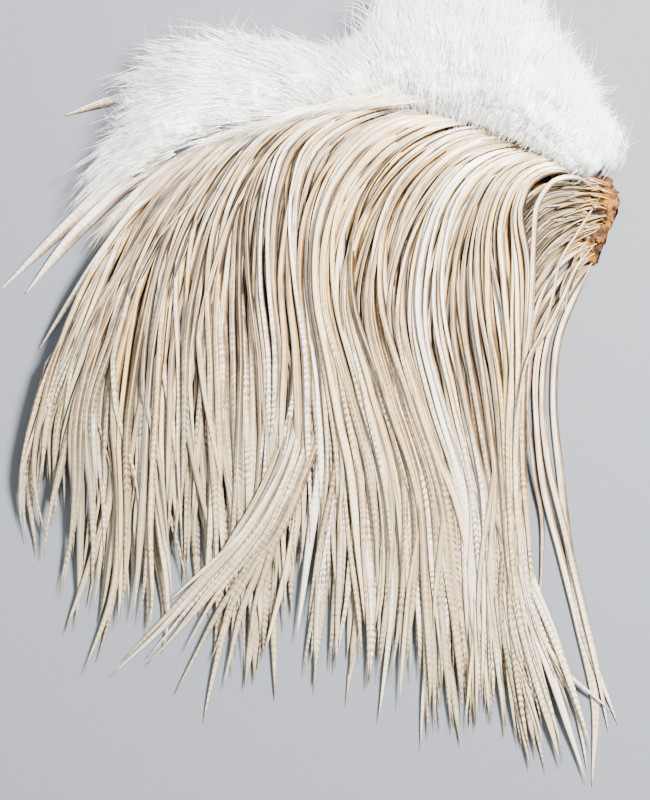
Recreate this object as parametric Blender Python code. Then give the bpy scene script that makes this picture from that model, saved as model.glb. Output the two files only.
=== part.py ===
"""A rooster cape laid flat: dried skin, locks of long hackles that bend over and run down, and white down.

Metres in Blender, millimetres in the lists below. +X is right, +Y is towards the down, +Z is up from the table.
The origin is on the table, under the middle of the cape. The skin lies on the table. One layer of hackle locks
lies on the skin and the table, the cover locks lie on that layer, and the down stands out from the skin's
upper edge.
"""

import math

import bmesh
import bpy
import numpy as np

MM = 0.001

# Driving dimensions, in millimetres.
SKIN_THICKNESS = 1.6
CLEARANCE = 0.4  # free gap between two pieces that lie on each other
SIDE_GAP = 0.35  # free gap between two locks side by side
SKIN_REACH = 40.0  # how far along a hackle the skin still lies under it
SKIN_RAMP = 24.0  # length over which a hackle comes down from the skin to the table
UNDER_ROOT_PILE = 5.6  # thickness of the lower layer at the skin
UNDER_TIP_PILE = 1.5
COVER_ROOT_PILE = 8.0  # thickness of the cover layer at the skin
COVER_TIP_PILE = 1.7
THINS_FROM = 60.0  # along a hackle, where its layer starts to thin
THINS_TO = 250.0  # along a hackle, where its layer is at its thinnest
WIDEST_LOCK = 6.8  # half width
WIDEST_UNDER_LOCK = 8.2
HOLLOW_PILE = 0.65  # thickness of the locks in the hollow, as a share of the lower layer's
EDGE_LOCK = 3.4  # half width of the outer side of a lock with no neighbour there
NARROWEST_LOCK = 0.5
UNDER_SHARE = 0.78  # length of a lower lock, as a share of the shorter lock over it
COVER_TAPERS_FROM = 0.78  # share of a cover lock's length where it starts to narrow to its tip
UNDER_TAPERS_FROM = 0.7
DOWN_PILE = 17.0  # greatest thickness of the down
WIDEST_DOWN = 13.0
EDGE_DOWN = 4.5  # half width of the outer side of a plume with no neighbour there
DOWN_ON_SKIN = 12.0  # how far along a plume the skin still lies under it
TIP_WIDTH = 0.07  # width at a lock's tip, as a share of its full width
LOOSE_OPENS_OVER = 22.0  # length over which a loose hackle widens from its quill
SINGLE_HACKLE = (1.7, 1.5)  # half width and thickness
CROSSING_LOCK = (3.4, 2.4)

# Rings and sides of the faceted solids.
COVER_RINGS = 17
UNDER_RINGS = 14
LOOSE_RINGS = 14
DOWN_RINGS = 10
DOWN_SIDES = 8

# Paths of the cover locks, from the leftmost to the rightmost, each from its root in the skin to its tip.
COVER_PATHS = [
    [(-26, 108), (-45, 98), (-63, 84), (-79, 65), (-92, 42), (-109, -1), (-119, -43), (-117, -76)],
    [(-17, 110), (-35, 101), (-52, 88), (-66, 72), (-77, 53), (-95, 16), (-107, -18), (-109, -52)],
    [
        (-11, 111), (-28, 102), (-43, 90), (-56, 74), (-66, 58),
        (-81, 24), (-90, -8), (-89, -50), (-93, -87), (-103, -129),
    ],
    [
        (-5, 112), (-21, 105), (-35, 94), (-45, 81), (-54, 64),
        (-64, 24), (-68, -16), (-69, -58), (-69, -100), (-79, -131),
    ],
    [(8, 116), (-9, 109), (-24, 99), (-34, 86), (-42, 70), (-50, 34), (-52, -8), (-52, -50), (-50, -94)],
    [
        (23, 118), (5, 112), (-11, 104), (-22, 91), (-30, 76),
        (-36, 41), (-37, -3), (-37, -50), (-37, -96), (-36, -140),
    ],
    [
        (37, 117), (17, 113), (0, 107), (-12, 97), (-18, 81),
        (-23, 45), (-21, 5), (-21, -37), (-23, -79), (-23, -139),
    ],
    [(51, 115), (31, 114), (12, 107), (0, 97), (-5, 83), (-7, 49), (-3, 11), (-3, -29), (-5, -71), (-15, -135)],
    [(62, 113), (42, 112), (23, 104), (10, 91), (3, 76), (0, 43), (6, 5), (11, -33), (10, -75), (9, -146)],
    [
        (71, 111), (51, 108), (32, 99), (18, 85), (10, 69), (7, 35),
        (16, -1), (26, -41), (28, -83), (21, -125), (16, -148),
    ],
    [
        (79, 108), (60, 105), (42, 95), (30, 82), (22, 66), (17, 34),
        (26, -1), (37, -41), (40, -83), (37, -129), (36, -154),
    ],
    [(84, 104), (67, 102), (50, 92), (38, 79), (32, 64), (28, 32), (37, -5), (49, -45), (51, -87), (54, -160)],
    [(91, 101), (74, 98), (59, 90), (49, 77), (42, 62), (38, 28), (47, -8), (59, -47), (62, -89), (64, -156)],
    [(98, 98), (81, 95), (68, 87), (58, 74), (53, 58), (49, 27), (56, -8), (67, -46), (71, -92), (71, -161)],
    [(107, 95), (90, 94), (75, 86), (67, 72), (62, 56), (61, 23), (67, -12), (75, -52), (78, -94), (84, -158)],
    [
        (114, 89), (102, 93), (88, 91), (78, 81), (73, 68), (71, 35),
        (76, 1), (80, -39), (84, -87), (93, -134), (102, -171),
    ],
    [
        (118, 83), (108, 90), (96, 89), (86, 82), (81, 71), (83, 39),
        (87, 3), (87, -37), (89, -79), (100, -129), (111, -175),
    ],
    [
        (120, 79), (111, 87), (100, 88), (91, 83), (87, 74), (91, 49),
        (93, 24), (91, -8), (92, -50), (96, -100), (109, -134), (116, -162),
    ],
]

# Short locks rooted down the skin's right end, seen in the hollow under the last cover lock.
HOLLOW_PATHS = [
    [(121, 76), (111, 81), (100, 81), (90, 74), (83, 62), (78, 30), (80, -12), (82, -60)],
    [(122, 70), (111, 73), (100, 70), (91, 62), (86, 49), (82, 13), (84, -29), (86, -72)],
    [(121, 62), (112, 65), (102, 60), (95, 52), (90, 41), (86, 9), (87, -34), (89, -82)],
    [(120, 56), (113, 58), (105, 52), (98, 43), (93, 30), (90, 1), (95, -37), (96, -75), (95, -100)],
]

# Single long hackles and locks that leave the layers: x, y and the height of the underside over the table.
LOOSE_PATHS = {
    "left_hackle_upper": [
        (-47, 102, 2.3), (-59, 98, 2.3), (-74, 88, 1.0), (-87, 78, 0.2), (-100, 66, 0), (-131, 37, 0),
    ],
    "left_hackle_lower": [(-58, 92, 0), (-76, 82, 0), (-89, 70, 0), (-100, 58, 0), (-120, 36, 0)],
    "short_hackle": [(-66, 122, 0), (-80, 119, 0), (-91, 116, 0), (-103, 112, 0)],
    "crossing_lock_long": [
        (-7, 24, 11.4), (-7, -8, 8.9), (-10, -29, 7.0), (-17, -48, 5.9), (-29, -67, 5.2), (-45, -85, 3.9),
        (-63, -105, 1.7), (-83, -125, 0.3),
    ],
    "crossing_lock_short": [
        (1, 20, 11.3), (1, -12, 8.7), (-2, -34, 6.8), (-9, -53, 5.4), (-19, -73, 4.2), (-31, -92, 3.1),
        (-41, -117, 1.4), (-50, -141, 0),
    ],
    "right_hackle_outer": [
        (117, 48, 2.2), (113, 40, 1.2), (109, 32, 0), (105, 20, 0), (102, 1, 0), (105, -37, 0), (112, -68, 0),
        (118, -108, 0), (123, -130, 0), (129, -144, 0),
    ],
    "right_hackle_inner": [
        (111, 46, 2.2), (105, 38, 1.2), (100, 24, 0), (98, 7, 0), (99, -21, 0), (103, -47, 0), (107, -75, 0),
        (113, -106, 0), (119, -134, 0), (118, -170, 0),
    ],
}

# Plumes of white down, from the one at the right end, over the top, to the lowest on the left.
DOWN_PATHS = [
    [(114, 92), (120, 99), (123, 106), (128, 115)],
    [(102, 100), (112, 110), (118, 118), (126, 123)],
    [(90, 107), (102, 123), (110, 135), (116, 147)],
    [(77, 113), (87, 133), (94, 150), (100, 165)],
    [(65, 116), (70, 137), (74, 156), (77, 173)],
    [(52, 119), (53, 139), (54, 156), (55, 175)],
    [(39, 122), (37, 139), (35, 156), (33, 172)],
    [(27, 123), (21, 137), (16, 152), (12, 161)],
    [(17, 123), (8, 133), (0, 140), (-7, 147)],
    [(8, 122), (-9, 132), (-24, 140), (-40, 151)],
    [(0, 120), (-19, 129), (-42, 136), (-68, 143)],
    [(-7, 120), (-30, 126), (-55, 130), (-82, 131)],
    [(-16, 118), (-40, 119), (-63, 118), (-85, 116)],
    [(-26, 114), (-47, 111), (-68, 106), (-89, 98)],
]

# Outline of the skin, starting at the left end and running along the upper edge.
SKIN_OUTLINE = [
    (-30, 107), (-9, 117), (16, 126), (50, 125), (80, 118), (105, 104), (121, 91), (129, 84), (131, 79),
    (126, 66), (124, 55), (118, 46), (110, 51), (105, 61), (101, 70), (92, 79), (79, 91), (54, 102),
    (25, 108), (-5, 104), (-22, 99),
]

CREAM = (0.86, 0.79, 0.66)
TAN = (0.74, 0.64, 0.50)
PALE = (0.88, 0.84, 0.76)
DOWN_WHITE = (0.95, 0.94, 0.92)
HIDE = (0.68, 0.54, 0.34)


def clear_scene():
    for obj in list(bpy.data.objects):
        bpy.data.objects.remove(obj)


def make_collection(name):
    collection = bpy.data.collections.new(name)
    bpy.context.scene.collection.children.link(collection)
    return collection


def make_material(name, colour, roughness):
    material = bpy.data.materials.new(name)
    material.use_nodes = True
    shader = material.node_tree.nodes["Principled BSDF"]
    shader.inputs["Base Color"].default_value = (*colour, 1.0)
    shader.inputs["Roughness"].default_value = roughness
    shader.inputs["Metallic"].default_value = 0.0
    return material


def ramp(value, start, end):
    """0 before start, 1 after end, and a smooth step between them."""
    share = min(1.0, max(0.0, (value - start) / (end - start)))
    return share * share * (3 - 2 * share)


class Path:
    """A smooth curve through hand-chosen points, read by the distance along it in millimetres."""

    SAMPLES = 400

    def __init__(self, points):
        knots = np.array(points, float)
        chords = np.concatenate([[0.0], np.cumsum(np.linalg.norm(np.diff(knots[:, :2], axis=0), axis=1))])
        slopes = np.gradient(knots, chords, axis=0)
        at = np.linspace(0.0, chords[-1], self.SAMPLES)
        span = np.clip(np.searchsorted(chords, at, side="right") - 1, 0, len(chords) - 2)
        width = (chords[span + 1] - chords[span])[:, None]
        part = (at - chords[span])[:, None] / width
        self.points = (
            knots[span] * (2 * part**3 - 3 * part**2 + 1)
            + slopes[span] * width * (part**3 - 2 * part**2 + part)
            + knots[span + 1] * (3 * part**2 - 2 * part**3)
            + slopes[span + 1] * width * (part**3 - part**2)
        )
        steps = np.linalg.norm(np.diff(self.points[:, :2], axis=0), axis=1)
        self.distances = np.concatenate([[0.0], np.cumsum(steps)])
        self.length = float(self.distances[-1])

    def at(self, distance):
        """The point at that distance. Past the end it runs on in a straight line."""
        inside = min(distance, self.length)
        point = np.array([np.interp(inside, self.distances, column) for column in self.points.T])
        if distance > self.length:
            point[:2] += self.heading(self.length) * (distance - self.length)
        return point

    def heading(self, distance):
        """Unit direction of travel in plan."""
        low = max(0.0, min(distance, self.length) - 1.0)
        high = min(self.length, low + 2.0)
        step = self.at(high)[:2] - self.at(low)[:2]
        return step / np.linalg.norm(step)

    def across(self, distance):
        """Unit direction in plan across the path, towards the lock before it in the lists."""
        along = self.heading(distance)
        return np.array([along[1], -along[0]])


def mean_path(first, second, share):
    """The path midway between two, up to that share of the shorter one's length."""
    length = share * min(first.length, second.length)
    stations = np.linspace(0.0, length, 14)
    return Path([tuple((first.at(s) + second.at(s))[:2] / 2) for s in stations])


def half_widths(paths, index, widest, edge):
    """Two functions of distance: the lock's reach towards the one before it, and towards the one after."""
    path = paths[index]

    def towards(other):
        def reach(distance):
            if other is None:
                return edge
            apart = abs(float((other.at(distance) - path.at(distance))[:2] @ path.across(distance)))
            return min(widest, max(NARROWEST_LOCK, apart / 2 - SIDE_GAP))

        return reach

    before = paths[index - 1] if index > 0 else None
    after = paths[index + 1] if index + 1 < len(paths) else None
    return towards(before), towards(after)


def tip_taper(share, start):
    """Full width up to start, then narrowing to a fine point."""
    return 1.0 - (1.0 - TIP_WIDTH) * ramp(share, start, 1.0) ** 0.8


def pointed_end(share):
    """Ring places for a lock: closest together at its root, where it bends over."""
    return 0.6 * share + 0.4 * share * share


def round_end(share):
    """Ring places for a plume: close together at both ends, which come out round."""
    return 0.5 - 0.5 * math.cos(math.pi * share)


def draw_out(name, path, section, material, collection, rings, sides=6, place=pointed_end):
    """Draws a sphere out along a path into a closed lock, from pole to pole.

    Each ring of the sphere becomes a flat-topped lens across the path. section gives, for a distance along the
    path, the lock's reach to each side, the height of its underside and its thickness.
    """
    flat = math.sin(2 * math.pi / sides)
    bm = bmesh.new()
    bmesh.ops.create_uvsphere(bm, u_segments=sides, v_segments=rings, radius=1.0)
    for vertex in bm.verts:
        share = math.acos(max(-1.0, min(1.0, vertex.co.z))) / math.pi
        distance = path.length * place(share)
        around = max(math.hypot(vertex.co.x, vertex.co.y), 1e-6)
        side = vertex.co.x / around
        up = max(-1.0, min(1.0, vertex.co.y / around / flat))
        before, after, bottom, pile = section(distance)
        reach = before if side > 0 else after
        plan = path.at(distance)[:2] + path.across(distance) * side * reach
        height = bottom + pile * (0.5 + 0.5 * up)
        vertex.co = (plan[0] * MM, plan[1] * MM, height * MM)
    mesh = bpy.data.meshes.new(name)
    bm.to_mesh(mesh)
    bm.free()
    mesh.shade_smooth()
    mesh.materials.append(material)
    collection.objects.link(bpy.data.objects.new(name, mesh))


def bed_height(distance):
    """Height of the surface that the lower layer lies on: the skin, then the table."""
    return (SKIN_THICKNESS + CLEARANCE) * (1 - ramp(distance, SKIN_REACH, SKIN_REACH + SKIN_RAMP))


def under_pile(distance):
    return UNDER_TIP_PILE + (UNDER_ROOT_PILE - UNDER_TIP_PILE) * (1 - ramp(distance, THINS_FROM, THINS_TO))


def cover_pile(distance):
    return COVER_TIP_PILE + (COVER_ROOT_PILE - COVER_TIP_PILE) * (1 - ramp(distance, THINS_FROM, THINS_TO))


def under_section(paths, index, share_of_pile):
    path = paths[index]
    before, after = half_widths(paths, index, WIDEST_UNDER_LOCK, EDGE_LOCK)

    def section(distance):
        taper = tip_taper(distance / path.length, UNDER_TAPERS_FROM)
        pile = under_pile(distance) * taper * share_of_pile
        return before(distance) * taper, after(distance) * taper, bed_height(distance), pile

    return section


def cover_section(paths, index):
    """A cover lock lies on the lower layer, and its end comes down past the lower lock's tip."""
    path = paths[index]
    before, after = half_widths(paths, index, WIDEST_LOCK, EDGE_LOCK)

    def section(distance):
        share = distance / path.length
        taper = tip_taper(share, COVER_TAPERS_FROM)
        lying = bed_height(distance) + under_pile(distance) + CLEARANCE
        bottom = lying * (1 - ramp(share, UNDER_SHARE + 0.02, 0.97))
        return before(distance) * taper, after(distance) * taper, bottom, cover_pile(distance) * taper

    return section


def loose_section(path, half_width, thickness):
    def section(distance):
        share = distance / path.length
        opening = 0.35 + 0.65 * ramp(distance, 0.0, LOOSE_OPENS_OVER)
        reach = half_width * opening * tip_taper(share, 0.55)
        bottom = max(0.0, float(path.at(distance)[2]))
        return reach, reach, bottom, thickness * tip_taper(share, 0.6)

    return section


def down_section(paths, index, lowest):
    """A plume is fullest past a third of its length. Beyond the skin it lies at the height called lowest."""
    path = paths[index]
    before, after = half_widths(paths, index, WIDEST_DOWN, EDGE_DOWN)

    def section(distance):
        share = distance / path.length
        full = (0.5 + 0.5 * ramp(share, 0.0, 0.35)) * (1 - 0.75 * ramp(share, 0.7, 1.0))
        wide = 0.6 + 0.4 * full
        off_skin = ramp(distance, DOWN_ON_SKIN, 2 * DOWN_ON_SKIN)
        bottom = max(SKIN_THICKNESS + CLEARANCE, lowest) * (1 - off_skin) + lowest * off_skin
        return before(distance) * wide, after(distance) * wide, bottom, DOWN_PILE * full

    return section


def make_skin(material, collection):
    curve = bpy.data.curves.new("skin", "CURVE")
    curve.dimensions = "2D"
    curve.fill_mode = "BOTH"
    curve.extrude = SKIN_THICKNESS / 2 * MM
    curve.resolution_u = 3
    spline = curve.splines.new("BEZIER")
    spline.bezier_points.add(len(SKIN_OUTLINE) - 1)
    for point, (x, y) in zip(spline.bezier_points, SKIN_OUTLINE):
        point.co = (x * MM, y * MM, 0.0)
        point.handle_left_type = "AUTO"
        point.handle_right_type = "AUTO"
    spline.use_cyclic_u = True
    curve.materials.append(material)
    obj = bpy.data.objects.new("skin", curve)
    obj.location.z = SKIN_THICKNESS / 2 * MM
    collection.objects.link(obj)


def make_under_locks(cover, material, collection):
    """Lower layer: one lock under each pair of cover locks, then the short locks of the hollow."""
    pairs = range(0, len(cover) - 2, 2)
    paths = [mean_path(cover[i], cover[i + 1], UNDER_SHARE) for i in pairs]
    paths += [Path(points) for points in HOLLOW_PATHS]
    for i, path in enumerate(paths):
        name = f"under_lock_{i + 1}"
        share_of_pile = 1.0
        if i >= len(pairs):
            name = f"hollow_lock_{i - len(pairs) + 1}"
            share_of_pile = HOLLOW_PILE
        draw_out(name, path, under_section(paths, i, share_of_pile), material, collection, UNDER_RINGS)


def make_cover_locks(cover, materials, collection):
    for i, path in enumerate(cover):
        material = materials[i % len(materials)]
        draw_out(f"cover_lock_{i + 1:02d}", path, cover_section(cover, i), material, collection, COVER_RINGS)


def make_loose_hackles(material, collection):
    """Single long feathers, and two locks that cross over the rest."""
    for name, points in LOOSE_PATHS.items():
        path = Path(points)
        half_width, thickness = CROSSING_LOCK if "lock" in name else SINGLE_HACKLE
        draw_out(name, path, loose_section(path, half_width, thickness), material, collection, LOOSE_RINGS)


def make_down(material, collection):
    """Plumes of down side by side. The last three lie over the left hackles."""
    paths = [Path(points) for points in DOWN_PATHS]
    last = len(paths) - 1
    heights = {last: 4.6, last - 1: 2.2, last - 2: 2.2}
    for i, path in enumerate(paths):
        section = down_section(paths, i, heights.get(i, 0.0))
        name = f"down_plume_{i + 1:02d}"
        draw_out(name, path, section, material, collection, DOWN_RINGS, DOWN_SIDES, round_end)


def main():
    clear_scene()
    cape = make_collection("rooster_cape")
    cream = make_material("cream hackle", CREAM, 0.45)
    tan = make_material("tan hackle", TAN, 0.5)
    pale = make_material("pale hackle", PALE, 0.45)
    white = make_material("white down", DOWN_WHITE, 0.9)
    hide = make_material("dried hide", HIDE, 0.6)

    cover = [Path(points) for points in COVER_PATHS]
    make_skin(hide, cape)
    make_under_locks(cover, tan, cape)
    make_cover_locks(cover, [cream, pale], cape)
    make_loose_hackles(pale, cape)
    make_down(white, cape)


main()
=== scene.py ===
import math

import bpy
import numpy as np
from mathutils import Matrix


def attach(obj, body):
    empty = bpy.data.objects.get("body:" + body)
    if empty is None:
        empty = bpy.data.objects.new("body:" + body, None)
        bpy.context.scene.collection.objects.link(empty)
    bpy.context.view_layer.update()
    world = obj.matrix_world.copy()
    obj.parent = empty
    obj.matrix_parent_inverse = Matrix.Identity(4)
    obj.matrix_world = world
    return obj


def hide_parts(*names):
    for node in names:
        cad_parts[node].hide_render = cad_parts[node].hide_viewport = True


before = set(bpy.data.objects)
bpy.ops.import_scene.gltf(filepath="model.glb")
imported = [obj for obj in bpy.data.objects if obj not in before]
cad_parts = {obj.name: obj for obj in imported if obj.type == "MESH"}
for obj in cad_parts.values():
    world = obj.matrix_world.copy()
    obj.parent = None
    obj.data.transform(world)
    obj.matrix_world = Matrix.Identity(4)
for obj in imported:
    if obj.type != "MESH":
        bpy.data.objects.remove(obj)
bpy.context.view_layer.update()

# Lengths are in millimetres up to the last step, where a piece becomes a mesh in metres.
mm = 0.001

# The paths that the solids follow too: each lock of hackles from its root in the skin to its tip. Only cover
# locks 17 and 18 and hollow locks 3 and 4 run a few millimetres left of their solids.
coverPaths = [
    [(-26, 108), (-45, 98), (-63, 84), (-79, 65), (-92, 42), (-109, -1), (-119, -43), (-117, -76)],
    [(-17, 110), (-35, 101), (-52, 88), (-66, 72), (-77, 53), (-95, 16), (-107, -18), (-109, -52)],
    [(-11, 111), (-28, 102), (-43, 90), (-56, 74), (-66, 58), (-81, 24), (-90, -8), (-89, -50), (-93, -87),
     (-103, -129)],
    [(-5, 112), (-21, 105), (-35, 94), (-45, 81), (-54, 64), (-64, 24), (-68, -16), (-69, -58), (-69, -100),
     (-79, -131)],
    [(8, 116), (-9, 109), (-24, 99), (-34, 86), (-42, 70), (-50, 34), (-52, -8), (-52, -50), (-50, -94)],
    [(23, 118), (5, 112), (-11, 104), (-22, 91), (-30, 76), (-36, 41), (-37, -3), (-37, -50), (-37, -96),
     (-36, -140)],
    [(37, 117), (17, 113), (0, 107), (-12, 97), (-18, 81), (-23, 45), (-21, 5), (-21, -37), (-23, -79),
     (-23, -139)],
    [(51, 115), (31, 114), (12, 107), (0, 97), (-5, 83), (-7, 49), (-3, 11), (-3, -29), (-5, -71),
     (-15, -135)],
    [(62, 113), (42, 112), (23, 104), (10, 91), (3, 76), (0, 43), (6, 5), (11, -33), (10, -75), (9, -146)],
    [(71, 111), (51, 108), (32, 99), (18, 85), (10, 69), (7, 35), (16, -1), (26, -41), (28, -83), (21, -125),
     (16, -148)],
    [(79, 108), (60, 105), (42, 95), (30, 82), (22, 66), (17, 34), (26, -1), (37, -41), (40, -83), (37, -129),
     (36, -154)],
    [(84, 104), (67, 102), (50, 92), (38, 79), (32, 64), (28, 32), (37, -5), (49, -45), (51, -87), (54, -160)],
    [(91, 101), (74, 98), (59, 90), (49, 77), (42, 62), (38, 28), (47, -8), (59, -47), (62, -89), (64, -156)],
    [(98, 98), (81, 95), (68, 87), (58, 74), (53, 58), (49, 27), (56, -8), (67, -46), (71, -92), (71, -161)],
    [(107, 95), (90, 94), (75, 86), (67, 72), (62, 56), (61, 23), (67, -12), (75, -52), (78, -94), (84, -158)],
    [(114, 89), (102, 93), (88, 91), (78, 81), (73, 68), (71, 35), (76, 1), (80, -39), (84, -87), (93, -134),
     (102, -171)],
    [(118, 83), (108, 90), (96, 89), (86, 82), (81, 71), (82, 39), (85, 3), (84, -37), (86, -79), (98, -129),
     (110, -175)],
    [(120, 79), (111, 87), (100, 88), (91, 83), (87, 74), (89, 49), (89, 24), (88, -8), (88, -50), (93, -100),
     (107, -134), (116, -162)],
]
hollowPaths = [
    [(121, 76), (111, 81), (100, 81), (90, 74), (83, 62), (78, 30), (80, -12), (82, -60)],
    [(122, 70), (111, 73), (100, 70), (91, 62), (86, 49), (82, 13), (84, -29), (86, -72)],
    [(121, 62), (112, 65), (102, 60), (95, 52), (90, 41), (85, 9), (85, -34), (86, -82)],
    [(120, 56), (113, 58), (105, 52), (97, 43), (91, 30), (87, 1), (88, -37), (89, -75), (90, -100)],
]
downPaths = [
    [(114, 92), (120, 99), (123, 106), (128, 115)],
    [(102, 100), (112, 110), (118, 118), (126, 123)],
    [(90, 107), (102, 123), (110, 135), (116, 147)],
    [(77, 113), (87, 133), (94, 150), (100, 165)],
    [(65, 116), (70, 137), (74, 156), (77, 173)],
    [(52, 119), (53, 139), (54, 156), (55, 175)],
    [(39, 122), (37, 139), (35, 156), (33, 172)],
    [(27, 123), (21, 137), (16, 152), (12, 161)],
    [(17, 123), (8, 133), (0, 140), (-7, 147)],
    [(8, 122), (-9, 132), (-24, 140), (-40, 151)],
    [(0, 120), (-19, 129), (-42, 136), (-68, 143)],
    [(-7, 120), (-30, 126), (-55, 130), (-82, 131)],
    [(-16, 118), (-40, 119), (-63, 118), (-85, 116)],
    [(-26, 114), (-47, 111), (-68, 106), (-89, 98)],
]

# How the two layers of hackles are heaped over the skin.
heap = {
    "skinThickness": 1.6,
    "skinReach": 40,       # along a hackle, how far the skin lies under it
    "skinRamp": 24,        # and over what length it then comes down to the table
    "underRoot": 5.6, "underTip": 1.5,
    "coverRoot": 8.0, "coverTip": 1.7,
    "thinsFrom": 60, "thinsTo": 250,
    "clearance": 0.4,
    "underShare": 0.78,    # length of the lower layer, as a share of the upper one's
}


def ramp(value, start, end):
    # smooth step: 0 before start, 1 after end
    share = np.clip((value - start) / (end - start), 0, 1)
    return share * share * (3 - 2 * share)


def bedHeight(s):
    # the top of the skin, and past its reach the table
    onTable = ramp(s, heap["skinReach"], heap["skinReach"] + heap["skinRamp"])
    return (heap["skinThickness"] + heap["clearance"]) * (1 - onTable)


def pileHeight(s, layer):
    # thickness of a layer: its root's up to thinsFrom, its tip's from thinsTo on
    atRoot, atTip = heap[layer + "Root"], heap[layer + "Tip"]
    return atTip + (atRoot - atTip) * (1 - ramp(s, heap["thinsFrom"], heap["thinsTo"]))


def thinAtLeft(s, lanes):
    # the heap is thinner at the left end, where the down lies over it
    return 0.55 + 0.45 * np.maximum(ramp(lanes, 0.0, 3.0), ramp(s, 60, 130))


def smoothCurve(points, count=240):
    # cubic through the points with centred slopes, read at even parameter steps
    knots = np.array(points, float)
    chords = np.concatenate([[0], np.cumsum(np.linalg.norm(np.diff(knots[:, :2], axis=0), axis=1))])
    slopes = np.gradient(knots, chords, axis=0)
    at = np.linspace(0, chords[-1], count)
    span = np.clip(np.searchsorted(chords, at, side="right") - 1, 0, len(chords) - 2)
    width = (chords[span + 1] - chords[span])[:, None]
    part = (at - chords[span])[:, None] / width
    return (
        knots[span] * (2 * part**3 - 3 * part**2 + 1) + slopes[span] * width * (part**3 - 2 * part**2 + part)
        + knots[span + 1] * (3 * part**2 - 2 * part**3) + slopes[span + 1] * width * (part**3 - part**2)
    )


class FlowField:
    # a sheet of neighbouring paths: any point is found by its lane (0 is the first path) and its distance s
    step = 2.0
    before = 24.0
    reach = 360.0

    def __init__(self, paths):
        grid = np.arange(-self.before, self.reach, self.step)
        rows, lengths = [], []
        for points in paths:
            curve = smoothCurve(points)[:, :2]
            walked = np.concatenate([[0], np.cumsum(np.linalg.norm(np.diff(curve, axis=0), axis=1))])
            row = np.stack([np.interp(grid, walked, curve[:, k]) for k in range(2)], axis=1)
            ahead, back = curve[-1] - curve[-8], curve[0] - curve[7]
            row += ahead / np.linalg.norm(ahead) * np.maximum(grid - walked[-1], 0)[:, None]
            row += back / np.linalg.norm(back) * np.maximum(-grid, 0)[:, None]
            rows.append(row)
            lengths.append(walked[-1])
        self.table = np.array(rows)
        self.lengths = np.array(lengths)

    def lengthAt(self, lane):
        return np.interp(lane, np.arange(len(self.lengths)), self.lengths)

    def at(self, lane, s):
        # linear between lanes and along s; beyond the outer lanes it goes on at the same spacing
        low = np.clip(np.floor(lane), 0, len(self.table) - 2).astype(int)
        beside = (lane - low)[..., None]
        cell = np.clip((s + self.before) / self.step, 0, self.table.shape[1] - 1.001)
        k = cell.astype(int)
        part = (cell - k)[..., None]
        first = self.table[low, k] * (1 - part) + self.table[low, k + 1] * part
        second = self.table[low + 1, k] * (1 - part) + self.table[low + 1, k + 1] * part
        return first * (1 - beside) + second * beside


def wander(rng, count, t, waves=(0.7, 1.6, 3.1), weights=(1.0, 0.5, 0.22)):
    # a sum of slow sine waves along t, one row for each feather, about -1 to 1
    total = np.zeros((count, len(t)))
    for wave, weight in zip(waves, weights):
        phase = rng.uniform(0, 2 * np.pi, (count, 1))
        speed = wave * rng.uniform(0.75, 1.25, (count, 1))
        total += weight * np.sin(2 * np.pi * speed * t + phase)
    return total / sum(weights)


def lumps(x, y, size, seed):
    # smooth uneven ground, about -1 to 1: sine waves in six directions, roughly `size` mm from crest to crest
    rng = np.random.default_rng(seed)
    total = np.zeros(np.shape(x))
    for i in range(6):
        angle, phase = rng.uniform(0, np.pi), rng.uniform(0, 2 * np.pi)
        turn = 2 * np.pi / (size * rng.uniform(0.7, 1.4))
        total += np.sin(turn * (x * np.cos(angle) + y * np.sin(angle)) + phase)
    return total / 3.5


def tubeFaces(count, stations, ring):
    # corner indices and face sizes of `count` closed tubes, each with a pole at both ends
    perTube = stations * ring + 2
    base = (np.arange(count) * perTube)[:, None, None]
    i = np.arange(stations - 1)[None, :, None] * ring
    j = np.arange(ring)[None, None, :]
    nextJ = (j + 1) % ring
    near, far = base + i, base + i + ring
    quads = np.stack(np.broadcast_arrays(near + j, near + nextJ, far + nextJ, far + j), -1)
    first, j, nextJ = base[:, :, 0], j[0], nextJ[0]
    startPole = first + stations * ring
    endPole = startPole + 1
    lastRing = first + (stations - 1) * ring
    startFan = np.stack(np.broadcast_arrays(startPole, first + nextJ, first + j), -1)
    endFan = np.stack(np.broadcast_arrays(endPole, lastRing + j, lastRing + nextJ), -1)
    corners = np.concatenate([quads.reshape(-1), startFan.reshape(-1), endFan.reshape(-1)])
    sizes = np.concatenate([np.full(quads.size // 4, 4), np.full(startFan.size // 3 * 2, 3)])
    return corners, sizes


def withPoles(rings, poles=None):
    # (count, stations, ring, n) values to one flat list, then the poles: the given ones, or else the means of
    # the first and last rings
    count, stations, ring, size = rings.shape
    if poles is None:
        poles = np.stack([rings[:, 0].mean(axis=1), rings[:, -1].mean(axis=1)], axis=1)
    return np.concatenate([rings.reshape(count, stations * ring, size), poles], axis=1).reshape(-1, size)


def plainPart(points, faces, values):
    # a part whose material reads no texture coordinates
    corners, sizes = faces
    uv = np.zeros((len(points), 2))
    return {"points": points, "corners": corners, "sizes": sizes, "uv": uv, "values": values}


def joinParts(parts):
    # several sets of points, faces and values to one
    shifts = np.cumsum([0] + [len(part["points"]) for part in parts])
    joined = {key: np.concatenate([part[key] for part in parts]) for key in ("points", "sizes", "uv")}
    joined["corners"] = np.concatenate([part["corners"] + shift for part, shift in zip(parts, shifts)])
    joined["values"] = {
        key: np.concatenate([part["values"][key] for part in parts]) for key in parts[0]["values"]
    }
    return joined


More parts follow.
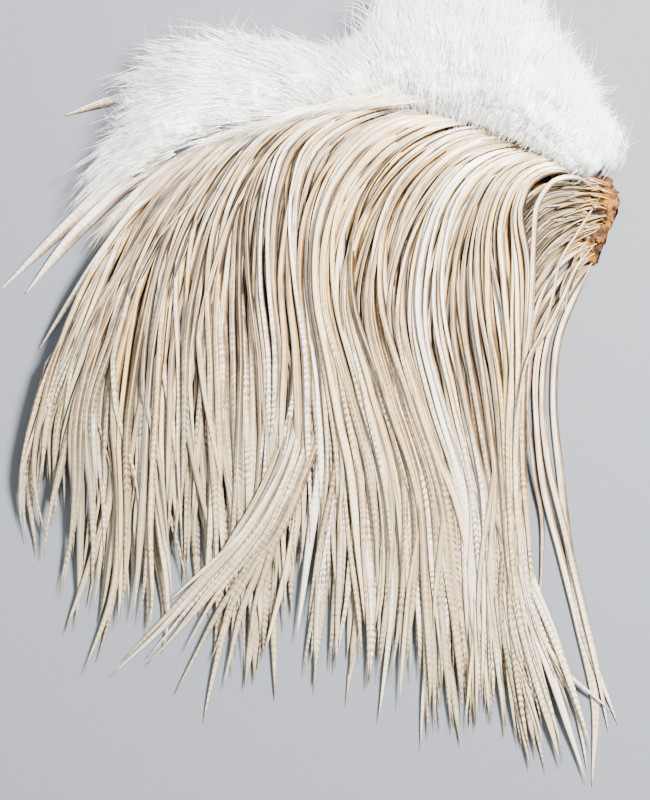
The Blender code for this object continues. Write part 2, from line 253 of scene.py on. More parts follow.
def makePiece(name, part, material, nodes=()):
    # a mesh from one part, dressed over the solids it stands for
    points, corners, sizes = part["points"], part["corners"], part["sizes"]
    mesh = bpy.data.meshes.new(name)
    mesh.vertices.add(len(points))
    mesh.vertices.foreach_set("co", np.ascontiguousarray(points * mm, np.float32).ravel())
    mesh.loops.add(len(corners))
    mesh.loops.foreach_set("vertex_index", corners.astype(np.int32))
    mesh.polygons.add(len(sizes))
    starts = np.concatenate([[0], np.cumsum(sizes)[:-1]])
    mesh.polygons.foreach_set("loop_start", starts.astype(np.int32))
    mesh.polygons.foreach_set("loop_total", sizes.astype(np.int32))
    layer = mesh.uv_layers.new(name="acrossAlong")
    layer.data.foreach_set("uv", np.ascontiguousarray(part["uv"][corners], np.float32).ravel())
    for key, values in part["values"].items():
        mesh.attributes.new(key, "FLOAT", "POINT").data.foreach_set(
            "value", np.ascontiguousarray(values, np.float32)
        )
    mesh.update(calc_edges=True)
    mesh.polygons.foreach_set("use_smooth", np.ones(len(sizes), bool))
    mesh.materials.append(material)
    piece = bpy.data.objects.new(name, mesh)
    bpy.context.scene.collection.objects.link(piece)
    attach(piece, "root")
    if nodes:
        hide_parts(*nodes)
    return piece


def linearColour(hexText):
    # sRGB hex to the linear colour that the shaders take
    parts = [int(hexText[i:i + 2], 16) / 255 for i in (1, 3, 5)]
    return tuple(c / 12.92 if c <= 0.04045 else ((c + 0.055) / 1.055) ** 2.4 for c in parts) + (1.0,)


def addNode(tree, kind, inputs=(), output=0, **settings):
    # adds a node with its settings, fixed inputs and links, and gives back one of its outputs
    node = tree.nodes.new("ShaderNode" + kind)
    for key, value in settings.items():
        setattr(node, key, value)
    for key, value in inputs.items() if isinstance(inputs, dict) else enumerate(inputs):
        if isinstance(value, bpy.types.NodeSocket):
            tree.links.new(value, node.inputs[key])
        else:
            node.inputs[key].default_value = value
    return node.outputs[output]


def newMaterial(name):
    material = bpy.data.materials.new(name)
    material.use_nodes = True
    return material, material.node_tree, material.node_tree.nodes["Principled BSDF"]


# Hackle vane: keratin barbs hooked into a flat vane. Satin, with a gloss along the shaft, a painted highlight on
# the raised edge, painted shade on the side that lies under the next feather, faint bars across it and fine lines
# where the barbs lie side by side. Some feathers are a warm tan or cream, others a cool pinkish grey that shines
# like silver; both go from dark to pale.
vaneLook = {
    "warm": ("#301d09", "#684820", "#9e7c48", "#d6b983"),
    "cool": ("#271e18", "#5e4f44", "#998a7d", "#ebe8e5"),
    "toneStops": (0.33, 0.68),   # where the two middle colours lie
    # the edge colour and its strength are a painted highlight on each vane's raised edge; the low-side value is
    # painted shade where the vane lies under the next feather
    "tip": "#c6ba9b", "bar": "#4a3318", "shaft": "#ebcf98", "edge": "#f7ecd2", "quill": "#7c5828",
    "barSpacing": 2.7, "barSlant": 2.6, "barStrength": 0.95, "paintedHighlightStrength": 0.8, "paintedShadeUnder": -0.6,
    "barbSpacing": 0.9, "barbSlant": 1.4,   # barbs are really 0.3 mm apart; drawn coarser to show
    "streaksAcross": 6.5, "streaksAlong": 3.0,
    "patchesPerMetre": 95.0, "mottlesPerMetre": 260.0,
    "roughness": 0.36, "shaftGloss": 0.16, "ior": 1.54,
}


def vaneMaterial(name, look):
    # tone = the feather's own + patches + mottles + streaks + painted shade on the side under the next feather. It
    # picks a warm and a cool colour, mixed by warmth; over them lie the tip, the bars, a painted highlight on the
    # raised edge, the bare quill, the barbs and the shaft.
    material, tree, shader = newMaterial(name)
    tone, warmth, barring, towardsTip, bare = (
        addNode(tree, "Attribute", (), "Fac", attribute_name=key)
        for key in ("tone", "warmth", "barring", "towardsTip", "bare")
    )
    place = addNode(tree, "UVMap", uv_map="acrossAlong")
    across, way = addNode(tree, "SeparateXYZ", (place,)).node.outputs[:2]
    # how far from the shaft, 0 to 1, and the distance along the feather in mm
    out = addNode(tree, "Math", (across, 2.0, -1.0), operation="MULTIPLY_ADD")
    out = addNode(tree, "Math", (out,), operation="ABSOLUTE")
    along = addNode(tree, "Math", (way, 100.0), operation="MULTIPLY")
    # streaks run along the vane and differ from one feather to the next
    streakPlace = addNode(tree, "CombineXYZ", [
        addNode(tree, "Math", (value, factor), operation="MULTIPLY")
        for value, factor in ((across, look["streaksAcross"]), (way, look["streaksAlong"]), (warmth, 60.0))
    ])
    cloud = addNode(tree, "TexCoord", (), "Object")
    patches, mottles, streaks = (
        addNode(tree, "TexNoise", {"Vector": vector, "Scale": scale, "Detail": 2.0})
        for vector, scale in ((cloud, look["patchesPerMetre"]), (cloud, look["mottlesPerMetre"]), (streakPlace, 1.0))
    )

    patchTone = addNode(tree, "Math", (patches, 0.6, -0.3), operation="MULTIPLY_ADD")
    mottleTone = addNode(tree, "Math", (mottles, 0.9, -0.5), operation="MULTIPLY_ADD")
    mottleTone = addNode(tree, "Math", (barring, mottleTone), operation="MULTIPLY")
    streakTone = addNode(tree, "Math", (streaks, 1.6, -0.8), operation="MULTIPLY_ADD")
    # painted shade: the side that lies under the next feather is darkened; painted highlight: the raised edge on the
    # other side is made pale. Both fade towards the tip, where the vane lies flat
    flattened = addNode(tree, "Math", (towardsTip, -1.5, 1.0), operation="MULTIPLY_ADD")
    paintedShadeRange = (across, 0.34, 0.95, 0.0, look["paintedShadeUnder"])
    paintedShadeTone = addNode(tree, "MapRange", paintedShadeRange, interpolation_type="SMOOTHSTEP")
    paintedShadeTone = addNode(tree, "Math", (paintedShadeTone, flattened), operation="MULTIPLY")
    for change in (patchTone, mottleTone, streakTone, paintedShadeTone):
        tone = addNode(tree, "Math", (tone, change), operation="ADD")

    grounds = []
    for colours in (look["cool"], look["warm"]):
        grounds.append(addNode(tree, "ValToRGB", (tone,)))
        stops = grounds[-1].node.color_ramp.elements
        stops[0].position, stops[0].color = 0.0, linearColour(colours[0])
        stops[1].position, stops[1].color = 1.0, linearColour(colours[3])
        for position, hexText in zip(look["toneStops"], colours[1:3]):
            stops.new(position).color = linearColour(hexText)
    colour = addNode(tree, "Mix", {0: warmth, 6: grounds[0], 7: grounds[1]}, 2, data_type="RGBA")

    # bars bend towards the tip away from the shaft; they come and go
    barTurn = addNode(tree, "Math", (along, 2 * math.pi / look["barSpacing"]), operation="MULTIPLY")
    for value, factor in ((out, -look["barSlant"]), (patches, 12.0), (streaks, 7.0)):
        barTurn = addNode(tree, "Math", (value, factor, barTurn), operation="MULTIPLY_ADD")
    barWave = addNode(tree, "Math", (barTurn,), operation="SINE")
    bars = addNode(tree, "MapRange", (barWave, -0.4, 0.9, 0.0, 1.0), interpolation_type="SMOOTHSTEP")
    barRange = (patches, 0.33, 0.58, 0.2, look["barStrength"])
    barPlaces = addNode(tree, "MapRange", barRange, interpolation_type="SMOOTHSTEP")
    # painted highlight on the raised edge, weaker on darker feathers and towards the tip
    paintedEdgeHighlight = addNode(
        tree, "MapRange", (across, 0.15, 0.06, 0.0, look["paintedHighlightStrength"]), interpolation_type="SMOOTHSTEP"
    )
    lit = addNode(tree, "MapRange", (tone, -0.1, 0.5, 0.2, 1.0), interpolation_type="SMOOTHSTEP")
    for factor in (barring, barPlaces):
        bars = addNode(tree, "Math", (bars, factor), operation="MULTIPLY")
    for factor in (lit, flattened):
        paintedEdgeHighlight = addNode(tree, "Math", (paintedEdgeHighlight, factor), operation="MULTIPLY")
    for share, layer in ((towardsTip, "tip"), (bars, "bar"), (paintedEdgeHighlight, "edge"), (bare, "quill")):
        colour = addNode(tree, "Mix", {0: share, 6: colour, 7: linearColour(look[layer])}, 2, data_type="RGBA")

    # barbs: fine lines that slant towards the tip
    perBarb = 2 * math.pi / look["barbSpacing"]
    barbTurn = addNode(tree, "Math", (along, perBarb), operation="MULTIPLY")
    barbTurn = addNode(tree, "Math", (out, -perBarb * look["barbSlant"], barbTurn), operation="MULTIPLY_ADD")
    barbWave = addNode(tree, "Math", (barbTurn,), operation="SINE")
    barbShade = addNode(tree, "Math", (barbWave, 0.02, 0.98), operation="MULTIPLY_ADD")
    colour = addNode(tree, "VectorMath", {0: colour, "Scale": barbShade}, operation="SCALE")
    # the pale shaft down the middle, fainter as it thins
    shaft = addNode(tree, "MapRange", (out, 0.24, 0.1, 0.0, 0.5), interpolation_type="SMOOTHSTEP")
    fainter = addNode(tree, "Math", (towardsTip, -1.2, 1.0), operation="MULTIPLY_ADD")
    shaft = addNode(tree, "Math", (shaft, fainter), operation="MULTIPLY")
    colour = addNode(tree, "Mix", {0: shaft, 6: colour, 7: linearColour(look["shaft"])}, 2, data_type="RGBA")
    gloss = addNode(tree, "Math", (shaft, -look["shaftGloss"], look["roughness"]), operation="MULTIPLY_ADD")
    bump = addNode(tree, "Bump", {"Strength": 0.2, "Distance": 0.00006, "Height": barbWave})
    tree.links.new(colour, shader.inputs["Base Color"])
    tree.links.new(gloss, shader.inputs["Roughness"])
    tree.links.new(bump, shader.inputs["Normal"])
    shader.inputs["IOR"].default_value = look["ior"]
    return material


# Down: loose barbs with no hooks. Dead white and matte, soft at the edge.
downLook = {"white": "#ffffff", "shade": "#cfcac2", "roughness": 0.85, "sheen": 0.3}
creamDownLook = {"white": "#faf3e4", "shade": "#c3ad88", "roughness": 0.75, "sheen": 0.2}


def downMaterial(name, look):
    # from the shade to the white by each strand's tone
    material, tree, shader = newMaterial(name)
    tone = addNode(tree, "Attribute", (), "Fac", attribute_name="tone")
    shades = {0: tone, 6: linearColour(look["shade"]), 7: linearColour(look["white"])}
    tree.links.new(addNode(tree, "Mix", shades, 2, data_type="RGBA"), shader.inputs["Base Color"])
    shader.inputs["Roughness"].default_value = look["roughness"]
    shader.inputs["Sheen Weight"].default_value = look["sheen"]
    return material


# Dried hide: bird skin scraped and dried hard, like parchment. Yellow-brown, dull but for a little fat in it,
# pimpled in rows where the quills come through.
hideLook = {
    "pale": "#80510f", "ochre": "#4d2a04", "brown": "#100702",
    "stainsPerMetre": 150.0, "stainStops": (0.41, 0.5, 0.6), "pimpleSpacing": 3.4,
    "grainPerMetre": 900.0, "reliefDepth": 0.0006, "roughness": 0.75, "specular": 0.25, "ior": 1.5,
}


def hideMaterial(name, look):
    # noise stains go from brown over ochre to pale; the pimples are brown, and they and the grain are in relief
    material, tree, shader = newMaterial(name)
    place = addNode(tree, "TexCoord", (), "Object")
    stainNoise = {"Vector": place, "Scale": look["stainsPerMetre"], "Detail": 6.0, "Roughness": 0.7}
    colours = addNode(tree, "ValToRGB", (addNode(tree, "TexNoise", stainNoise),))
    stops = colours.node.color_ramp.elements
    darkStop, middleStop, paleStop = look["stainStops"]
    stops[0].position, stops[0].color = darkStop, linearColour(look["brown"])
    stops[1].position, stops[1].color = paleStop, linearColour(look["pale"])
    stops.new(middleStop).color = linearColour(look["ochre"])
    cells = {"Vector": place, "Scale": 1000.0 / look["pimpleSpacing"]}
    pimples = addNode(tree, "TexVoronoi", cells, "Distance", feature="F1")
    spots = addNode(tree, "MapRange", (pimples, 0.12, 0.44, 0.95, 0.0), interpolation_type="SMOOTHSTEP")
    spotted = addNode(tree, "Mix", {0: spots, 6: colours, 7: linearColour(look["brown"])}, 2, data_type="RGBA")
    grain = addNode(tree, "TexNoise", {"Vector": place, "Scale": look["grainPerMetre"], "Detail": 4.0})
    relief = addNode(tree, "Math", (grain, 0.5, spots), operation="MULTIPLY_ADD")
    bump = addNode(tree, "Bump", {"Strength": 0.8, "Distance": look["reliefDepth"], "Height": relief})
    tree.links.new(spotted, shader.inputs["Base Color"])
    tree.links.new(bump, shader.inputs["Normal"])
    shader.inputs["Roughness"].default_value = look["roughness"]
    shader.inputs["Specular IOR Level"].default_value = look["specular"]
    shader.inputs["IOR"].default_value = look["ior"]
    return material


vane = vaneMaterial("hackle vane, satin keratin", vaneLook)
fluff = downMaterial("white down", downLook)
creamFluff = downMaterial("downy part of the hackles", creamDownLook)
hide = hideMaterial("dried hide", hideLook)
print("materials made")

# Cross-sections of a vane, from its inner edge over the shaft to its outer edge and back underneath.
fineSection = {
    "across": np.array([1, 0.58, 0.18, 0, -0.18, -0.58, -1, -0.5, 0, 0.5]),
    "top": np.array([0, 1, 1, 1, 1, 1, 0, 0, 0, 0], float),
    "shaft": np.array([0, 0, 0.1, 1, 0.1, 0, 0, 0, 0, 0], float),
}
plainSection = {
    "across": np.array([1, 0.5, 0, -0.5, -1, -0.45, 0, 0.45]),
    "top": np.array([0, 1, 1, 1, 0, 0, 0, 0], float),
    "shaft": np.array([0, 0, 1, 0, 0, 0, 0, 0], float),
}


def besideOf(flat):
    # level unit direction to the left of travel, for paths of (count, stations, 2)
    heading = np.gradient(flat, axis=1)
    heading /= np.linalg.norm(heading, axis=2, keepdims=True)
    return np.stack([-heading[..., 1], heading[..., 0]], axis=-1)


def featherFrame(centre, roll):
    # unit directions across and out of each vane: level first, then turned about the path by roll
    along = np.gradient(centre, axis=1)
    along /= np.linalg.norm(along, axis=2, keepdims=True)
    across = np.cross(np.array([0.0, 0.0, 1.0]), along)
    across /= np.linalg.norm(across, axis=2, keepdims=True)
    out = np.cross(along, across)
    c, s = np.cos(roll)[..., None], np.sin(roll)[..., None]
    return across * c + out * s, out * c - across * s


def featherParts(centre, s, halfWidth, cup, roll, tone, warmth, barring, section):
    # each feather is a closed thin vane carried along its path: an upside-down V across, the shaft raised on
    # its crest, sharp edges, and an underside a shaft's thickness below
    count, stations = s.shape
    across, out = featherFrame(centre, roll)
    a = section["across"]
    grown = s - s[:, :1]
    share = grown / grown[:, -1:]
    thick = 0.42 - 0.3 * share
    fold = (cup * (1 - 0.6 * ramp(share, 0.35, 0.75))[..., None]) * (1 - np.abs(a) ** 1.25)
    under = (1 - section["top"]) * (1 - np.abs(a)) * -thick[..., None]
    lift = halfWidth[..., None] * fold + under + section["shaft"] * thick[..., None] * 0.8
    side = halfWidth[..., None] * a
    points = centre[:, :, None] + across[:, :, None] * side[..., None] + out[:, :, None] * lift[..., None]
    flat = withPoles(points)
    flat[:, 2] = np.maximum(flat[:, 2], 0.0)
    uv = np.stack(np.broadcast_arrays(a * 0.5 + 0.5, s[..., None] * 0.01), -1)
    corners, sizes = tubeFaces(count, stations, len(a))
    perStation = {
        "tone": np.broadcast_to(tone, s.shape), "warmth": np.broadcast_to(np.clip(warmth, 0, 1), s.shape),
        "barring": np.broadcast_to(barring, s.shape),
        "towardsTip": ramp(share, 0.55, 1.0) * 0.55, "bare": 1 - ramp(grown, 3.0, 14.0),
    }
    around = np.ones(len(a))[:, None]
    values = {key: withPoles(value[..., None, None] * around).ravel() for key, value in perStation.items()}
    return {"points": flat, "corners": corners, "sizes": sizes, "uv": withPoles(uv), "values": values}


def hackleWidth(grown, length, widest, opening, taper):
    # a bare quill that opens out, long sides that widen a little, and a lance-shaped end `taper` mm long
    body = (0.22 + 0.78 * ramp(grown, 0.0, opening)) * (0.86 + 0.14 * ramp(grown / length, 0.3, 0.8))
    lance = 1 - np.clip((grown - length + taper) / taper, 0, 1) ** 1.7
    return widest * body * (0.025 + 0.975 * lance)


def growHackles(flow, lane, look, rng, heights, toneAt, section):
    # feathers side by side about one lane of the flow. Near the skin they lie evenly; further down they draw
    # together in clumps that end in points. heights gives the underside and thickness of the layer they lie in.
    count = look["perLock"]
    t = np.linspace(0, 1, look["stations"])
    place = (rng.permutation(count) + rng.uniform(0.1, 0.9, count)) / count - 0.5
    clumps = look["clumps"]
    clump = np.clip(((place + 0.5) * clumps).astype(int), 0, clumps - 1)
    clumpPlace = (clump + 0.5) / clumps - 0.5 + rng.normal(0, look["clumpDrift"], clumps)[clump]
    clumpLength = 1 - look["uneven"] * rng.uniform(0, 1, clumps)[clump]
    lockLength = flow.lengthAt(lane + place)
    start = rng.uniform(0, 1, count) ** 1.4 * look["rootSpread"]
    short = look["ragged"] * rng.uniform(0, 1, count) ** 1.3
    length = lockLength * clumpLength * (1 - short) - start
    s = start[:, None] + length[:, None] * (0.6 * t + 0.4 * t * t)
    grown = s - start[:, None]
    share = grown / length[:, None]
    gathered = ramp(s, 80, 210) * look["gather"] * rng.uniform(0.5, 1.2, (count, 1))
    lanes = lane + place[:, None] * (1 - gathered) + clumpPlace[:, None] * gathered
    astray = rng.normal(0, look["stray"], (count, 1)) * (1 - ramp(s, 25, 150))
    lanes = lanes + astray + wander(rng, count, t) * look["drift"] * ramp(s, 10, 120)
    # they go no further out than this past the first and the last path
    pastFirst, pastLast = 0.12, 0.2
    flat = flow.at(np.clip(lanes, -pastFirst, len(flow.table) - 1 + pastLast), s)
    # most run straight on; a few leave the clump and cross the ones beside it
    leaving = rng.normal(0, 1, (count, 1))
    leaving = np.clip(leaving * (0.7 + 0.3 * leaving**2), -4, 4) * look["splay"]
    turned = np.tan(np.radians(leaving)) * np.maximum(s - (start + length * 0.66)[:, None], 0)
    bent = rng.normal(0, look["bend"], (count, 1)) * ramp(share, 0.72, 1.0) ** 1.5
    aside = look["farthestAside"] * np.tanh((turned + bent) / look["farthestAside"])
    # the outermost ones on either side keep to the edge of the mass
    aside = np.where((lane + place)[:, None] < 0.4, np.maximum(aside, -2.0), aside)
    aside = np.where((lane + place)[:, None] > len(flow.table) - 2, np.minimum(aside, 2.0), aside)
    flat = flat + besideOf(flat) * aside[..., None]
    # the feathers rooted highest on the skin lie on top
    rank = np.argsort(np.argsort(start + rng.normal(0, look["rootSpread"] * 0.35, count))) / (count - 1)
    bottom, pile = heights(s, s / lockLength[:, None], lanes)
    z = bottom + pile * (0.1 + 0.8 * (1 - rank))[:, None] + wander(rng, count, t) * 0.12 * pile
    z = rootHeight + (z - rootHeight) * ramp(grown, 0, 30)
    centre = np.concatenate([flat, z[..., None]], axis=2)
    half = rng.uniform(*look["halfWidth"], count)[:, None]
    taper = rng.uniform(*look["taper"], (count, 1))
    width = hackleWidth(grown, length[:, None], half, look["opening"], taper)
    width = width * (1 + rng.normal(0, 0.03, s.shape))
    turn = look["rollAtRoot"] + (look["rollAtTip"] - look["rollAtRoot"]) * ramp(s, 55, 175)
    roll = np.radians(turn * rng.uniform(0.3, 1.35, (count, 1)) + wander(rng, count, t) * 16)
    cup = rng.uniform(*look["cup"], (count, 1, 1))
    tone = toneAt(lane + place, rank, rng)[:, None] + look["toneDrift"] * wander(rng, count, t)
    barring = np.clip(rng.uniform(0.0, 1.3, (count, 1)), 0, 1) * ramp(s, 50, 170)
    warmth = rng.uniform(*look["warmth"], (count, 1)) + 0.12 * wander(rng, count, t)
    return featherParts(centre, s, width, cup, roll, tone, warmth, barring, section)


rootHeight = 1.2
coverFlow = FlowField(coverPaths)
coverHackles = {
    "perLock": 30, "stations": 36, "tightStations": 44, "tightFrom": 15,
    "halfWidth": (1.1, 1.95), "taper": (38, 72), "opening": 26, "cup": (0.04, 0.2),
    "rootSpread": 26, "uneven": 0.2, "ragged": 0.22, "rollAtRoot": -36, "rollAtTip": -8,
    "drift": 0.14, "stray": 0.5, "clumps": 4, "clumpDrift": 0.07, "gather": 0.62,
    "splay": 3.8, "farthestAside": 16, "bend": 2.5, "warmth": (-0.1, 1.25), "toneDrift": 0.08,
}


def coverHeights(s, share, lanes):
    # over the lower layer until that ends
    lying = bedHeight(s) + pileHeight(s, "under") + heap["clearance"]
    thin = thinAtLeft(s, lanes)
    return thin * lying * (1 - ramp(share, heap["underShare"] + 0.02, 0.97)), thin * pileHeight(s, "cover")


def coverTone(lane, rank, rng):
    # the left locks are a pinker tan, the middle and right ones cream and paler, partly their own colour and partly
    # painted light that brightens the right-hand locks; deeper feathers are darker, painted shade under the ones on
    # top
    base = 0.55 + 0.3 * ramp(lane, 2.0, 9.0)
    return np.clip(base + rng.normal(0, 0.3, len(lane)) - 0.48 * rank**2, 0.03, 1.1)


for i in range(len(coverPaths)):
    # the last locks bend most tightly and take more stations
    stations = coverHackles["tightStations" if i >= coverHackles["tightFrom"] else "stations"]
    grownLock = growHackles(
        coverFlow, float(i), dict(coverHackles, stations=stations), np.random.default_rng([11, i]),
        coverHeights, coverTone, fineSection,
    )
    makePiece(f"coverHackles{i + 1:02d}", grownLock, vane, [f"cover_lock_{i + 1:02d}"])
print("cover hackles grown")

underHackles = {
    "locks": 8, "perLock": 14, "stations": 30,
    "halfWidth": (1.8, 2.5), "taper": (30, 45), "opening": 24, "cup": (0.08, 0.25),
    "rootSpread": 20, "uneven": 0.12, "ragged": 0.2, "rollAtRoot": -24, "rollAtTip": -8,
    "drift": 0.2, "stray": 0.3, "clumps": 5, "clumpDrift": 0.05, "gather": 0.6,
    "splay": 3.0, "farthestAside": 12, "bend": 3.0, "warmth": (0.3, 1.1), "toneDrift": 0.08,
}


def underHeights(s, share, lanes):
    return bedHeight(s), pileHeight(s, "under") * thinAtLeft(s, lanes)


def underTone(lane, rank, rng):
    # painted shade: the lower layer lies dark brown under the cover hackles, its deeper feathers darker still
    return np.clip(0.24 + rng.normal(0, 0.13, len(lane)) - 0.14 * rank, 0.0, 1.0)


for i in range(underHackles["locks"]):
    grownLock = growHackles(
        coverFlow, 2 * i + 0.5, underHackles, np.random.default_rng([23, i]),
        underHeights, underTone, plainSection,
    )
    makePiece(f"underHackles{i + 1}", grownLock, vane, [f"under_lock_{i + 1}"])
print("lower hackles grown")

hollowFlow = FlowField(hollowPaths)
hollowHackles = {
    "perLock": 15, "stations": 36,
    "halfWidth": (1.1, 2.4), "taper": (25, 45), "opening": 10, "cup": (0.1, 0.35),
    "rootSpread": 12, "uneven": 0.3, "ragged": 0.3, "rollAtRoot": -44, "rollAtTip": -10,
    "drift": 0.6, "stray": 0.6, "clumps": 4, "clumpDrift": 0.1, "gather": 0.5,
    "splay": 4.0, "farthestAside": 12, "bend": 3.0, "warmth": (0.2, 1.2), "toneDrift": 0.15,
}


def hollowHeights(s, share, lanes):
    return bedHeight(s), pileHeight(s, "under") * 0.65


def hollowTone(lane, rank, rng):
    # mostly dark brown, painted shade of the hollow, with a few pale silvery ones
    pale = rng.uniform(0, 1, len(lane)) < 0.25
    return np.clip(np.where(pale, 0.75, 0.06) + rng.normal(0, 0.14, len(lane)), -0.15, 1.0)


for i in range(len(hollowPaths)):
    grownLock = growHackles(
        hollowFlow, float(i), hollowHackles, np.random.default_rng([31, i]),
        hollowHeights, hollowTone, plainSection,
    )
    makePiece(f"hollowHackles{i + 1}", grownLock, vane, [f"hollow_lock_{i + 1}"])
print("hollow hackles grown")

# Feathers that leave the locks: each is one path in x, y and the height of its underside. Some lie in place of
# a solid and carry its name, the others belong to the locks beside them.
looseHackles = [
    {"node": "left_hackle_upper", "half": 3.8, "tone": 1.0, "warmth": 0.25, "taper": 75, "path": [
        (-47, 102, 3.5), (-59, 98, 3.5), (-74, 89, 2.2), (-87, 80, 1.2), (-101, 67, 0.8), (-131, 38, 0.4)]},
    {"node": "left_hackle_lower", "half": 3.6, "tone": 0.95, "warmth": 0.1, "taper": 52, "path": [
        (-58, 93, 0.8), (-75, 84, 0.8), (-88, 73, 0.7), (-100, 61, 0.6), (-120, 37, 0.4)]},
    {"node": "short_hackle", "half": 2.4, "tone": 0.8, "path": [
        (-66, 122, 1.5), (-80, 119, 1.5), (-91, 116, 1.0), (-103, 112, 0.5)]},
    {"node": "right_hackle_outer", "half": 1.9, "tone": 0.9, "path": [
        (117, 48, 2.2), (113, 40, 1.4), (109, 32, 0.6), (104, 18, 0.5), (102, -4, 0.4), (105, -41, 0.3),
        (110, -80, 0.3), (117, -113, 0.6), (124, -131, 0.6), (129, -144, 0.2)]},
    {"node": "right_hackle_inner", "half": 2.0, "tone": 0.95, "path": [
        (116, 52, 2.2), (108, 41, 1.8), (100, 27, 1.0), (95, 7, 0.6), (95, -16, 0.5), (98, -45, 0.4),
        (105, -72, 0.4), (113, -104, 0.4), (119, -132, 0.4), (118, -170, 0.2)]},
    {"half": 1.6, "tone": 0.9, "path": [
        (118, 50, 2.4), (109, 39, 2.4), (100, 19, 1.6), (97, -5, 1.2), (99, -30, 1.0), (107, -64, 1.0),
        (115, -98, 1.0), (120, -120, 1.0), (125, -147, 0.3)]},
    {"half": 0.75, "tone": 0.85, "path": [
        (122, 79, 3.0), (112, 63, 6.5), (104, 50, 9.5), (101, 36, 11.5), (97, 22, 13.0), (90, 8, 13.6),
        (87, -8, 13.0), (86, -37, 11.0)]},
    {"half": 1.5, "tone": 0.85, "path": [
        (119, 54, 2.2), (110, 48, 3.2), (102, 39, 3.5), (95, 28, 3.2), (91, 10, 2.6), (89, -15, 2.0),
        (88, -45, 1.5)]},
    {"half": 1.3, "tone": 0.7, "path": [
        (118, 50, 2.0), (109, 42, 2.6), (101, 32, 2.4), (94, 18, 2.0), (91, -4, 1.6), (90, -40, 1.2)]},
    {"half": 1.2, "tone": 0.9, "path": [
        (120, 58, 2.4), (111, 54, 4.4), (103, 47, 5.5), (97, 37, 6.0), (93, 24, 6.5), (91, 5, 7.0),
        (89, -20, 7.0)]},
    {"half": 1.4, "tone": 0.95, "path": [
        (120, 80, 3.0), (112, 85, 8.0), (102, 84, 11.0), (95, 75, 13.0), (93, 58, 13.4), (92, 34, 13.2),
        (91, 20, 12.6), (88, 5, 11.5), (86, -14, 10.0)]},
    {"half": 1.1, "tone": 0.9, "path": [
        (119, 58, 2.5), (112, 49, 5.0), (105, 34, 7.0), (99, 22, 8.0), (92, 11, 9.0), (89, -1, 9.0),
        (88, -12, 8.0)]},
    {"half": 1.0, "tone": 0.7, "path": [
        (89, -5, 5.0), (92, -24, 3.5), (94, -41, 2.0), (97, -58, 1.0), (97, -75, 0.6), (95, -100, 0.3)]},
    {"half": 1.7, "tone": 0.95, "path": [
        (86, -66, 6.0), (91, -92, 4.5), (96, -108, 3.0), (102, -117, 2.0), (109, -129, 1.2), (114, -150, 0.5),
        (116, -163, 0.3)]},
    {"half": 1.3, "tone": 0.9, "path": [
        (93, -97, 4.0), (101, -113, 3.0), (111, -125, 2.2), (119, -132, 1.6), (126, -138, 1.0)]},
    {"half": 1.9, "tone": 1.1, "path": [
        (-60, 82, 12.0), (-74, 71, 11.0), (-88, 53, 9.0), (-100, 35, 6.5), (-114, 14, 1.2)]},
    {"half": 1.0, "tone": 0.8, "path": [(-72, 42, 9.0), (-82, 24, 7.5), (-92, 10, 4.5), (-103, -10, 2.0)]},
    {"half": 1.0, "tone": 0.9, "path": [(-38, 90, 16.0), (-50, 74, 15.0), (-60, 64, 13.5), (-66, 57, 12.5)]},
    {"half": 1.3, "tone": 0.85, "path": [(-92, 34, 7.0), (-101, 8, 5.5), (-108, -8, 3.5), (-114, -17, 1.5)]},
]
looseLook = {"stations": 60, "cup": 0.14, "roll": -14, "opening": 18, "taper": 50}


def looseFeather(feather, look, rng):
    line = smoothCurve(feather["path"], look["stations"])[None]
    steps = np.linalg.norm(np.diff(line[0], axis=0), axis=1)
    s = np.concatenate([[0], np.cumsum(steps)])[None]
    share = s / s[0, -1]
    taper = min(feather.get("taper", look["taper"]), 0.7 * s[0, -1])
    width = hackleWidth(s, s[0, -1], feather["half"], look["opening"], taper)
    roll = np.radians(look["roll"] + 14 * wander(rng, 1, share[0]))
    barring = 0.5 * ramp(share, 0.3, 0.7)
    cup = np.full((1, 1, 1), look["cup"])
    warmth = feather.get("warmth", rng.uniform(0.3, 0.8))
    return featherParts(line, s, width, cup, roll, feather["tone"], warmth, barring, fineSection)


for i, feather in enumerate(looseHackles):
    part = looseFeather(feather, looseLook, np.random.default_rng([41, i]))
    makePiece(f"looseHackle{i + 1:02d}", part, vane, [feather["node"]] if "node" in feather else [])

# Short quills stand along the rim of the skin at its right end and fan out over the roots in the hollow.
shortQuills = {
    "count": 72, "stations": 12, "rim": ((127.0, 83.0), (118.0, 50.0)), "inFromRim": (-0.8, 7.0),
    "heading": (148, 228), "turn": (8, 52), "length": (6, 24), "half": (0.25, 0.8), "rise": (0.8, 4.0),
}


